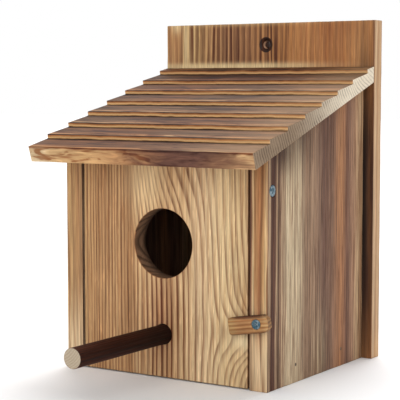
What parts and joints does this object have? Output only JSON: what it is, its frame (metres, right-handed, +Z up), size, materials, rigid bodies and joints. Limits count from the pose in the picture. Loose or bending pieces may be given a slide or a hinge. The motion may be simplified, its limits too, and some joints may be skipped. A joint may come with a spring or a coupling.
{
  "type": "birdhouse",
  "caption": "Wooden nesting box with a stepped sloping roof, a round entrance, a dowel perch, a front that swings up when its turn button is turned, and a tall back board to hang it by.",
  "frame": {"origin": "bottom centre of the box round the whole object, on the surface that it stands on", "axes": "+Z up, the front with the entrance and perch faces -Y, the back board's rear face looks along +Y, +X is to the right as the front is seen"},
  "size_m": [0.1644, 0.2266, 0.2244],
  "materials": {
    "side_wood": "scorched and brushed softwood, oiled, satin",
    "floor_wood": "plain sawn softwood, matt",
    "back_wood": "scorched and brushed softwood, satin",
    "roof_wood": "scorched softwood with milled steps, satin",
    "door_wood": "lightly scorched and brushed softwood, satin",
    "perch_wood": "dark scorched dowel with a bare sawn end, satin",
    "latch_wood": "small lightly scorched softwood strip, satin",
    "zinc": "bright zinc-plated steel"
  },
  "bodies": {
    "box": {"left_side": "side_wood", "right_side": "side_wood", "floor_board": "floor_wood", "back_board": "back_wood", "roof_board": "roof_wood", "latch_screw": "zinc", "back_screw_left_1": "zinc", "back_screw_left_2": "zinc", "back_screw_left_3": "zinc", "back_screw_right_1": "zinc", "back_screw_right_2": "zinc", "back_screw_right_3": "zinc", "floor_screw_left": "zinc", "floor_screw_right": "zinc", "roof_brad_left_1": "zinc", "roof_brad_left_2": "zinc", "roof_brad_left_3": "zinc", "roof_brad_right_1": "zinc", "roof_brad_right_2": "zinc", "roof_brad_right_3": "zinc", "floor_brad_left_1": "zinc", "floor_brad_left_2": "zinc", "floor_brad_right_1": "zinc", "floor_brad_right_2": "zinc"},
    "door": {"front_door": "door_wood", "perch_dowel": "perch_wood", "pivot_screw_left": "zinc", "pivot_screw_right": "zinc"},
    "latch": {"latch_button": "latch_wood"}
  },
  "joints": [
    {"name": "door_hinge", "type": "hinge", "parent": "box", "child": "door", "pos_m": [0, -0.01715, 0.1198], "axis": [-1, 0, 0], "range_deg": [0, 100]},
    {"name": "latch_turn", "type": "hinge", "parent": "box", "child": "latch", "pos_m": [0.0698, -0.0258, 0.0413], "axis": [0, 1, 0], "continuous": true}
  ]
}
